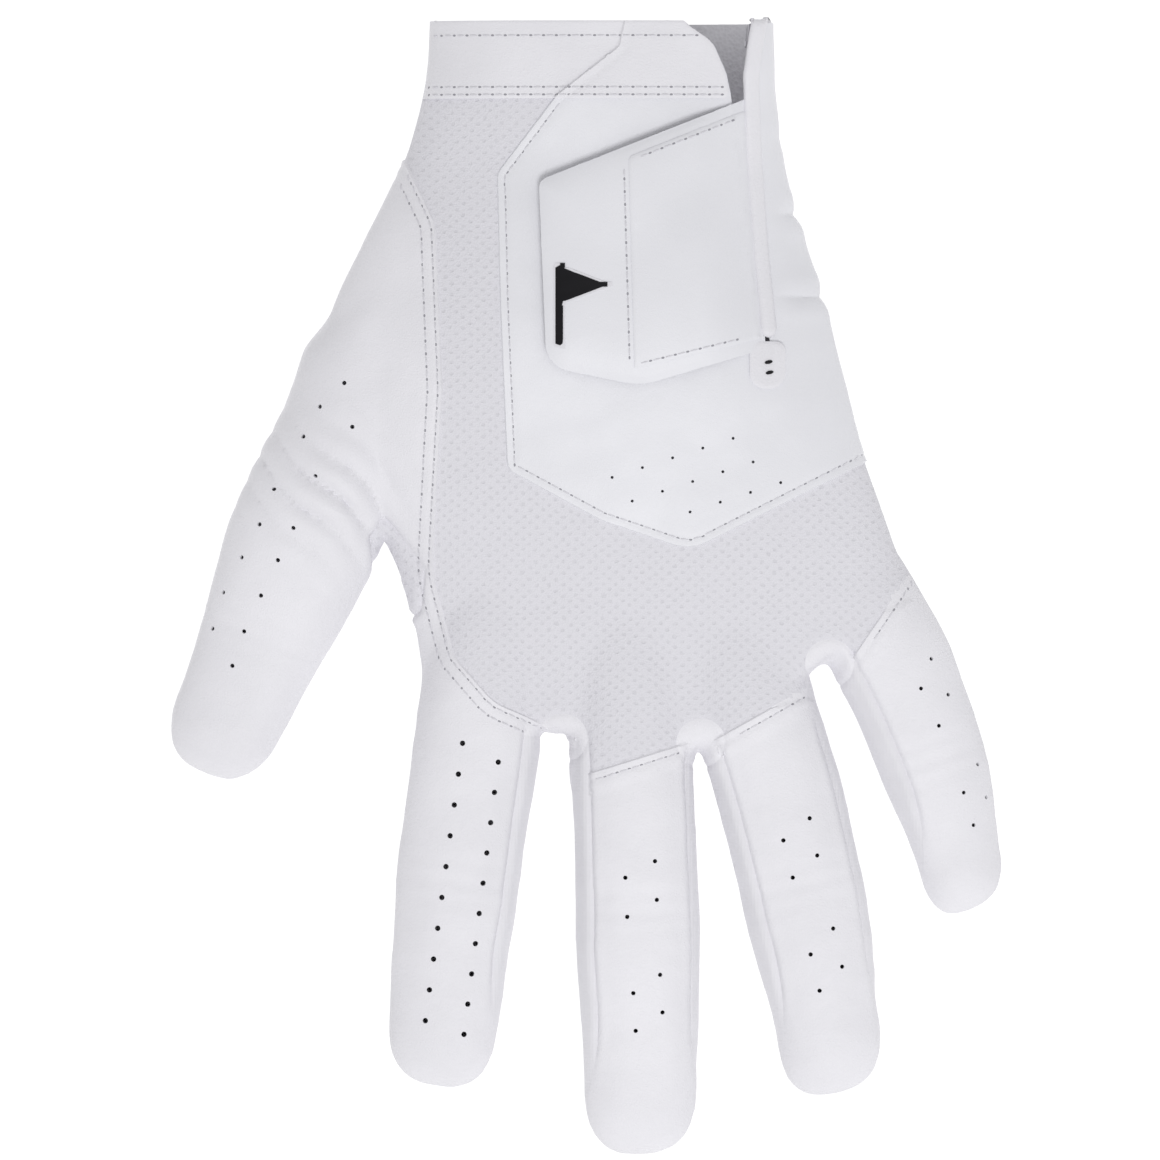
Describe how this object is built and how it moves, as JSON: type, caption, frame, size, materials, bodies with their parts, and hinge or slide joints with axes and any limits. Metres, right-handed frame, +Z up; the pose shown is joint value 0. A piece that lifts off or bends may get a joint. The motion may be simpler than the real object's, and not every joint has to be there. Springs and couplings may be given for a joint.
{
  "type": "golf glove",
  "caption": "White left-hand golf glove with leather and mesh panels, perforated fingers and a wrist tab that peels open over a slit.",
  "frame": {"origin": "on the palm's flat underside, at the middle of the palm", "axes": "+Y from the fingertips to the cuff, +X from the thumb side to the little-finger side, +Z up out of the back of the hand"},
  "size_m": [0.1731, 0.2398, 0.0317],
  "materials": {
    "leather_white": "matte",
    "synthetic_white": "matte",
    "mesh_fabric": "woven",
    "fourchette_fabric": "woven",
    "hook_and_loop": "fuzzy",
    "elastic_white": "ribbed",
    "emblem_black": "matte",
    "thread_black": "matte"
  },
  "bodies": {
    "hand": {"back_mesh": "mesh_fabric", "closure_panel": "synthetic_white", "cuff_band": "leather_white", "cuff_hem": "elastic_white", "loop_patch": "hook_and_loop", "palm_leather": "leather_white", "slit_bar_tack": "thread_black", "slit_binding": "leather_white", "slit_stop_patch": "leather_white", "thumb_gusset": "mesh_fabric", "thumb_side_leather": "leather_white", "web_index_middle": "mesh_fabric", "web_middle_ring": "mesh_fabric", "web_ring_little": "mesh_fabric", "wrist_elastics": "elastic_white"},
    "tab": {"tab_leather": "synthetic_white", "tab_backing": "synthetic_white", "tab_strap": "synthetic_white", "tab_emblem": "emblem_black", "hook_patch": "hook_and_loop"},
    "index_base": {"index_back_base": "leather_white", "index_fourchette_base": "fourchette_fabric", "index_palm_base": "leather_white"},
    "index_tip": {"index_back_tip": "leather_white", "index_fourchette_tip": "fourchette_fabric", "index_palm_tip": "leather_white"},
    "middle_base": {"middle_back_base": "leather_white", "middle_fourchette_base": "fourchette_fabric", "middle_palm_base": "leather_white"},
    "middle_tip": {"middle_back_tip": "leather_white", "middle_fourchette_tip": "fourchette_fabric", "middle_palm_tip": "leather_white"},
    "ring_base": {"ring_back_base": "leather_white", "ring_fourchette_base": "fourchette_fabric", "ring_palm_base": "leather_white"},
    "ring_tip": {"ring_back_tip": "leather_white", "ring_fourchette_tip": "fourchette_fabric", "ring_palm_tip": "leather_white"},
    "little_base": {"little_back_base": "leather_white", "little_fourchette_base": "fourchette_fabric", "little_palm_base": "leather_white"},
    "little_tip": {"little_back_tip": "leather_white", "little_fourchette_tip": "fourchette_fabric", "little_palm_tip": "leather_white"},
    "thumb_base": {"thumb_back_base": "leather_white", "thumb_palm_base": "leather_white"},
    "thumb_tip": {"thumb_back_tip": "leather_white", "thumb_palm_tip": "leather_white"}
  },
  "joints": [
    {"name": "tab_peel", "type": "hinge", "parent": "hand", "child": "tab", "pos_m": [0.0364, 0.05, 0.02914], "axis": [-0.0603, 0.998, -0.0196], "range_deg": [0, 150]},
    {"name": "index_knuckle", "type": "hinge", "parent": "hand", "child": "index_base", "pos_m": [-0.02274, -0.03602, 0], "axis": [0.9934, -0.1146, 0], "range_deg": [0, 80]},
    {"name": "index_middle", "type": "hinge", "parent": "index_base", "child": "index_tip", "pos_m": [-0.02579, -0.06244, 0], "axis": [0.9934, -0.1146, 0], "range_deg": [0, 95]},
    {"name": "middle_knuckle", "type": "hinge", "parent": "hand", "child": "middle_base", "pos_m": [0.00967, -0.04079, 0], "axis": [0.9997, 0.023, 0], "range_deg": [0, 80]},
    {"name": "middle_middle", "type": "hinge", "parent": "middle_base", "child": "middle_tip", "pos_m": [0.01031, -0.06878, 0], "axis": [0.9997, 0.023, 0], "range_deg": [0, 95]},
    {"name": "ring_knuckle", "type": "hinge", "parent": "hand", "child": "ring_base", "pos_m": [0.03912, -0.03798, 0], "axis": [0.9847, 0.1741, 0], "range_deg": [0, 80]},
    {"name": "ring_middle", "type": "hinge", "parent": "ring_base", "child": "ring_tip", "pos_m": [0.04362, -0.06338, 0], "axis": [0.9847, 0.1741, 0], "range_deg": [0, 95]},
    {"name": "little_knuckle", "type": "hinge", "parent": "hand", "child": "little_base", "pos_m": [0.06348, -0.01784, 0], "axis": [0.9516, 0.3073, 0], "range_deg": [0, 80]},
    {"name": "little_middle", "type": "hinge", "parent": "little_base", "child": "little_tip", "pos_m": [0.06993, -0.03782, 0], "axis": [0.9516, 0.3073, 0], "range_deg": [0, 95]},
    {"name": "thumb_knuckle", "type": "hinge", "parent": "hand", "child": "thumb_base", "pos_m": [-0.05796, 0.01644, 0], "axis": [0.9342, -0.3566, 0], "range_deg": [0, 60]},
    {"name": "thumb_middle", "type": "hinge", "parent": "thumb_base", "child": "thumb_tip", "pos_m": [-0.0683, -0.01065, 0], "axis": [0.9342, -0.3566, 0], "range_deg": [0, 80]}
  ]
}
